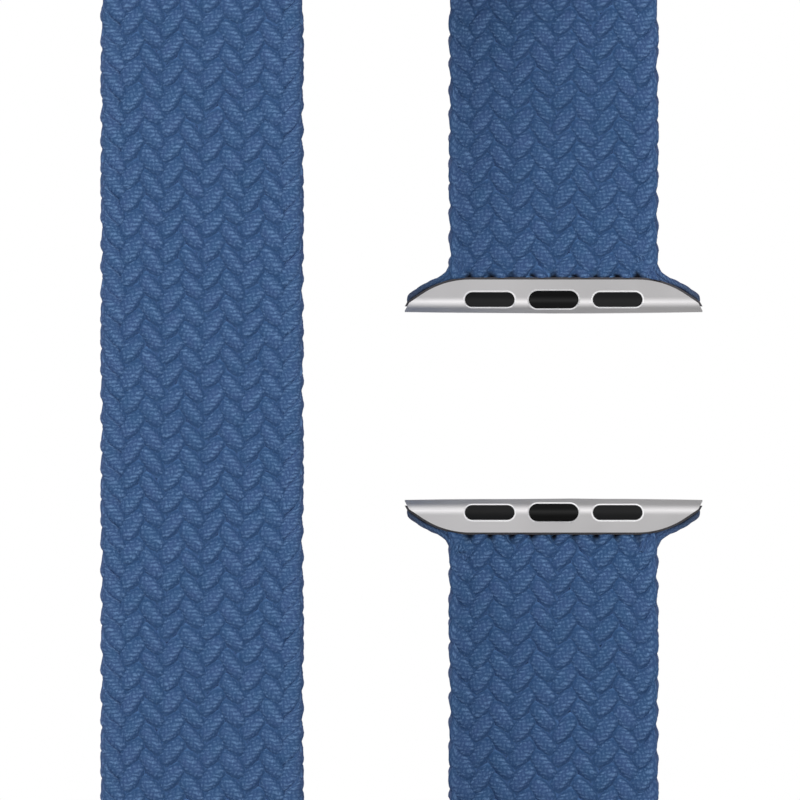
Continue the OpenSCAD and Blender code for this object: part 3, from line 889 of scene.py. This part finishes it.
def braid_material():
    """The crown colour comes over the yarn by height^1.2 x fuzz x wear, plus a share of
    fibre noise: a painted highlight on the stitch crowns mixed with paler fibres. The
    groove colour, painted shade, comes by 1 - height^0.6. The flank colour, painted
    shade, takes over where the lift falls below 0.9, paler where it is very low, which is
    painted light. A greyer colour towards the lug's end and a near-black one in the notches
    come by two mesh attributes, and both are painted shade."""
    material, tree, shader = new_material("blue_braid_yarn", Roughness=0.85,
                                          Sheen_Weight=0.12, Sheen_Roughness=0.5,
                                          Sheen_Tint=linear(150, 140, 220),
                                          Specular_IOR_Level=0.15)
    uv = tree.nodes.new("ShaderNodeUVMap")
    uv.uv_map = "cord_way"
    stitches = tree.nodes.new("ShaderNodeGroup")
    stitches.node_tree = plait
    stitches.inputs["Stitch"].default_value = STITCH
    tree.links.new(uv.outputs[0], stitches.inputs["Vector"])
    height = stitches.outputs["Height"]
    # the level family of stitches gets the stronger painted highlight
    level = maths(tree, "MULTIPLY_ADD", stitches.outputs["Family"], 0.4, 0.6)
    tint = noise_value(tree, object_coordinates(tree), 420.0)
    tint = ramp(tree, tint, ((0.35, 0.0), (0.65, 1.0)))
    base = mix_colour(tree, tint, YARN, YARN_TINTED)
    fuzz = ramp(tree, noise_value(tree, uv.outputs[0], 5.0, 3.0), ((0.38, 0.1), (0.62, 1.0)))
    worn = maths(tree, "MULTIPLY_ADD", stitches.outputs["Stitch Random"], 0.5, 0.7)
    highlight_and_flecks = maths(tree, "MULTIPLY", maths(tree, "POWER", height, 1.2), fuzz)
    highlight_and_flecks = maths(tree, "MULTIPLY", highlight_and_flecks, worn)
    fibres = ramp(tree, noise_value(tree, uv.outputs[0], 10.0), ((0.35, 0.0), (0.65, 1.0)))
    highlight_and_flecks = maths(tree, "MULTIPLY_ADD", fibres, 0.25, highlight_and_flecks)
    colour = mix_colour(tree, maths(tree, "MULTIPLY", highlight_and_flecks, level), base, CROWN_HIGHLIGHT_AND_FIBRES)
    # painted shade in the grooves between stitches
    groove = maths(tree, "SUBTRACT", 1.0, maths(tree, "POWER", height, 0.6))
    colour = mix_colour(tree, maths(tree, "MULTIPLY", groove, 0.45), colour, GROOVE_SHADE)
    lift = maths(tree, "MULTIPLY_ADD", highlight_and_flecks, 0.14, attribute(tree, "lift"))
    # painted shade on the flanks and in the valleys, with painted light in the deepest of them
    flank = ramp(tree, lift, ((0.7, 1.0), (0.9, 0.0)))
    deep = ramp(tree, lift, ((0.42, 1.0), (0.72, 0.0)))
    valley = mix_colour(tree, deep, FLANK_SHADE, DEEP_FLANK_LIGHT)
    colour = mix_colour(tree, maths(tree, "MULTIPLY", flank, 0.85), colour, valley)
    colour = mix_colour(tree, attribute(tree, "tip_shade"), colour, TIP_SHADE_GREY)
    # painted shade: the notches at the lugs go near-black
    notch_shade = maths(tree, "MULTIPLY", maths(tree, "POWER", attribute(tree, "notch_shade"), 0.8), 2.0)
    colour = mix_colour(tree, maths(tree, "MINIMUM", notch_shade, 1.0), colour, NOTCH_SHADE)
    height = maths(tree, "MULTIPLY", maths(tree, "MULTIPLY", height, level),
                   maths(tree, "MULTIPLY_ADD", flank, -0.7, 1.0))
    tree.links.new(colour, shader.inputs["Base Color"])
    bump(tree, shader, height, 0.5, 0.08 * MM)
    return material


yarn = braid_material()
for piece in list(braid.values()) + list(rims.values()):
    piece.data.materials.append(yarn)
print(yarn.name, "on", len(braid) + len(rims), "pieces")


# %% [markdown]
# The lug is finely blasted aluminium: a smooth satin with a grain too small to see,
# which shows only as soft reflections. The pads are matt elastomer, the latch is glossy
# black, and inside there are plain spring steel and a moulded grip bar. The lug's face
# turns smoothly into its bevel, and latch and pads roll back on the strap's side. Finer
# meshes could do that, but a height in the Bump node bends the shading alone and leaves
# the solids' faces as they are. The freshly cut slot rims get a brighter, less metallic
# material, a painted highlight, so that they stay bright where the latch hides what they
# would mirror.

# %% Metal, elastomer and inner parts
CREASE_Z = 1.0
CREASE_REACH = 0.65
CREASE_TURN = math.radians(17.4)
FACE_BULGE = 0.0022
FRONT_Y = -1.1


def from_line(tree, z, line):
    """Distance in millimetres past a line that lies this far above the lug's tips."""
    z = maths(tree, "DIVIDE", maths(tree, "ABSOLUTE", z), MM)
    return maths(tree, "SUBTRACT", z, TIP_Z + line)


def face_relief(tree):
    """Height in millimetres that rounds the crease over the bevel and arches the face.
    Round the crease it is -tan(t) (w - |e|)^2 / 2w for a distance e below w, so that
    both sides meet at half the bend 2t, and the arch is -c x^2. Only the wrist side."""
    x, y, z = axes(tree, object_coordinates(tree))
    x = maths(tree, "DIVIDE", x, MM)
    e = maths(tree, "ABSOLUTE", from_line(tree, z, CREASE_Z))
    spare = maths(tree, "MAXIMUM", maths(tree, "SUBTRACT", CREASE_REACH, e), 0.0)
    crease = maths(tree, "MULTIPLY", maths(tree, "POWER", spare, 2.0),
                   -math.tan(CREASE_TURN) / (2 * CREASE_REACH))
    arch = maths(tree, "MULTIPLY", maths(tree, "POWER", x, 2.0), -FACE_BULGE)
    front = maths(tree, "LESS_THAN", y, FRONT_Y * MM)
    return maths(tree, "MULTIPLY", maths(tree, "ADD", crease, arch), front)


def satin_metal(name, colour, roughness, grain, relief=False, metallic=1.0):
    """Metal with a fine grain, whose roughness strays by 0.04 over wide patches."""
    material, tree, shader = new_material(name, Base_Color=colour, Metallic=metallic,
                                          Roughness=roughness)
    where = object_coordinates(tree)
    fine = noise_value(tree, where, grain, 3.0)
    wide = noise_value(tree, where, grain / 30, 2.0)
    spread = maths(tree, "MULTIPLY_ADD", wide, 0.08, roughness - 0.04)
    tree.links.new(spread, shader.inputs["Roughness"])
    height = maths(tree, "MULTIPLY", fine, 0.0012)
    if relief:
        height = maths(tree, "ADD", height, face_relief(tree))
    bump(tree, shader, height, 1.0, MM)
    return material


def button_relief(tree):
    """Height in millimetres that rolls the strap side of a latch or pad back. With z the
    distance from the slots' middle line it is -(0.33 z + 0.13 ln cosh(2.5 z + 0.15)), so
    that the slope goes smoothly from none at the tip side to 33 degrees."""
    z = from_line(tree, axes(tree, object_coordinates(tree))[2], SLOT_LINE)
    rolled = maths(tree, "COSH", maths(tree, "MULTIPLY_ADD", z, 2.5, 0.15))
    rolled = maths(tree, "LOGARITHM", rolled, math.e)
    return maths(tree, "MULTIPLY_ADD", z, -0.33, maths(tree, "MULTIPLY", rolled, -0.13))


def moulded(name, colour, roughness, grain, strength, shine=0.5, relief=False):
    """A moulded finish with a grain 0.02 mm high times its strength."""
    material, tree, shader = new_material(name, Base_Color=colour, Roughness=roughness,
                                          Specular_IOR_Level=shine)
    where = object_coordinates(tree)
    fine = noise_value(tree, where, grain, 3.0)
    spread = maths(tree, "MULTIPLY_ADD", fine, 0.1, roughness - 0.05)
    tree.links.new(spread, shader.inputs["Roughness"])
    height = maths(tree, "MULTIPLY", fine, 0.02 * strength)
    if relief:
        height = maths(tree, "ADD", height, button_relief(tree))
    bump(tree, shader, height, 1.0, MM)
    return material


lug_metal = satin_metal("blasted_aluminium", linear(232, 230, 231), 0.3, 9000.0, True)
# the slot rims' near-white, less metallic colour is a painted highlight
painted_rim = satin_metal("slot_rim_highlight", linear(250, 249, 250), 0.42, 9000.0, metallic=0.35)
steel = satin_metal("spring_steel", linear(200, 200, 202), 0.25, 6000.0)
pad_rubber = moulded("pad_elastomer", linear(11, 11, 12), 0.45, 7000.0, 0.25, 0.28, True)
seal_rubber = moulded("edge_lip_elastomer", linear(62, 60, 64), 0.6, 7000.0, 0.2)
latch_gloss = moulded("latch_black", linear(5, 5, 5), 0.12, 5000.0, 0.04, 0.22, True)
grip = moulded("grip_plastic", linear(52, 60, 76), 0.5, 3000.0, 0.2)
elastic = moulded("covered_elastic", linear(46, 68, 104), 0.7, 4000.0, 0.3)


def dress(obj, material):
    """Gives an object this material alone."""
    obj.data.materials.clear()
    obj.data.materials.append(material)


for side in ("upper", "lower"):
    for part in ("_shell", "_rear_cover"):
        metal[side + part].data.materials.append(lug_metal)
        metal[side + part].data.materials.append(painted_rim)
    for part, material in (("_edge_seal", seal_rubber), ("_left_pad", pad_rubber),
                           ("_right_pad", pad_rubber), ("_latch", latch_gloss),
                           ("_latch_spring", steel), ("_retainer_plate", steel),
                           ("_retainer_screws", steel), ("_grip_bar", grip),
                           ("_cover_screws", steel)):
        dress(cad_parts[side + part], material)
    for part, rounding in (("_left_pad", 0.4), ("_right_pad", 0.4), ("_latch", 0.45)):
        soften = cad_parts[side + part].modifiers.new("moulded_edges", "BEVEL")
        soften.width = rounding * MM
        soften.segments = 4
        soften.angle_limit = math.radians(40)
dress(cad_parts["elastic_threads"], elastic)
print("materials:", len(bpy.data.materials))

# %% [markdown]
# ## What moves with what
#
# The back run and the turns belong to the strap body, and the metal of each lug rides on
# that lug. The runs beside the lugs, the fabric rims and a copy of the leaf spring behind
# each latch have their placing baked into their meshes and are not attached to a body here.

# %% Riding
for name in ("braid_upper_turn", "braid_back_run", "braid_lower_turn"):
    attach(braid[name], "strap")
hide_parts("braid_loop")
for side, sign in (("upper", 1), ("lower", -1)):
    run = braid["braid_" + side + "_run"]
    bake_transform(run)
    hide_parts(side + "_braid_tail")
    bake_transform(rims[side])
    leaf = add_piece(side + "_leaf_spring",
                     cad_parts[side + "_latch_spring"].data.copy())
    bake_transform(leaf)
    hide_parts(side + "_latch_spring")
    for part in ("_shell", "_rear_cover"):
        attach(metal[side + part], side + "_lug")
        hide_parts(side + part)

# %% [markdown]
# ## Light and room
#
# The picture has a pure white ground and soft even light. The world is white to the
# camera. Its diffuse light comes mostly from the front and the back, which shades the
# flanks of the cords. For reflections it is a light tent seen from the strap: grey
# where the camera stands, a bright ring round it, a dark one further out and bright at
# the sides. That is what gives the lug its bright crease and its darker bevel. Large
# lamps, left out of reflections, give the braid its soft modelling. The floor is a pale
# disc under the strap.

# %% The light tent
TENT = ((0.0, 0.62), (0.1, 0.7), (0.25, 0.2), (0.48, 0.22), (0.7, 0.75), (0.85, 1.0),
        (0.94, 0.6), (0.98, 0.38), (1.0, 0.32))
TENT_LEVEL = 1.4
LEFT_LIMIT = 1.25
world = bpy.data.worlds.new("light_tent")
bpy.context.scene.world = world
world.use_nodes = True
tree = world.node_tree
background = tree.nodes["Background"]
light_path = tree.nodes.new("ShaderNodeLightPath")
direction = axes(tree, tree.nodes.new("ShaderNodeTexCoord").outputs["Generated"])
towards_camera = maths(tree, "MULTIPLY", direction[1], -1.0)
tent = ramp(tree, towards_camera, TENT)
to_the_left = maths(tree, "MULTIPLY_ADD", direction[0], -0.55, 1.0)
to_the_left = maths(tree, "MINIMUM", to_the_left, LEFT_LIMIT)
tent = maths(tree, "MULTIPLY", maths(tree, "MULTIPLY", tent, to_the_left), TENT_LEVEL)
behind = maths(tree, "MAXIMUM", direction[1], 0.0)
tent = maths(tree, "MULTIPLY", tent, maths(tree, "MULTIPLY_ADD", behind, -0.35, 1.0))
frontal = maths(tree, "MULTIPLY_ADD", maths(tree, "POWER", direction[1], 2.0), 0.75, 0.33)
seen = mix_colour(tree, light_path.outputs["Is Glossy Ray"], frontal, tent)
seen = mix_colour(tree, light_path.outputs["Is Camera Ray"], seen, (1, 1, 1, 1))
tree.links.new(seen, background.inputs["Color"])
print("tent:", len(TENT), "levels")

# %% Lamps and floor
LOOP_MIDDLE = (-0.016, 0, 0)
FLOOR_R = 0.34
FLOOR_DROP = 0.0006


def lamp(name, place, size, power):
    """A square lamp, its side in metres, that looks at the middle of the loop."""
    data = bpy.data.lights.new(name, "AREA")
    data.size = size
    data.energy = power
    obj = bpy.data.objects.new(name, data)
    obj.location = place
    aim = Vector(LOOP_MIDDLE) - Vector(place)
    obj.rotation_euler = aim.to_track_quat("-Z", "Y").to_euler()
    obj.visible_glossy = False
    bpy.context.scene.collection.objects.link(obj)


lamp("key", (-0.3, -0.75, 0.5), 0.5, 4.5)
lamp("fill", (0.4, -0.8, 0.1), 0.6, 1.9)
lamp("back", (0.1, 0.8, 0.4), 0.5, 4.0)

bpy.ops.mesh.primitive_circle_add(
    vertices=96, radius=FLOOR_R, fill_type="NGON",
    location=(LOOP_MIDDLE[0], -TURN_R * MM, cad_box[0][2] - FLOOR_DROP))
floor = bpy.context.object
floor.name = "floor"
floor_material, floor_tree, floor_shader = new_material(
    "pale_floor", Base_Color=(0.86, 0.86, 0.86, 1), Roughness=0.7)
floor_grain = noise_value(floor_tree, object_coordinates(floor_tree), 60.0)
bump(floor_tree, floor_shader, floor_grain, 0.05, 0.001)
floor.data.materials.append(floor_material)
floor.visible_glossy = False
bpy.context.scene.view_settings.view_transform = "Standard"
print("lamps:", len(bpy.data.lights), "floor at z =", round(floor.location.z / MM, 1), "mm")
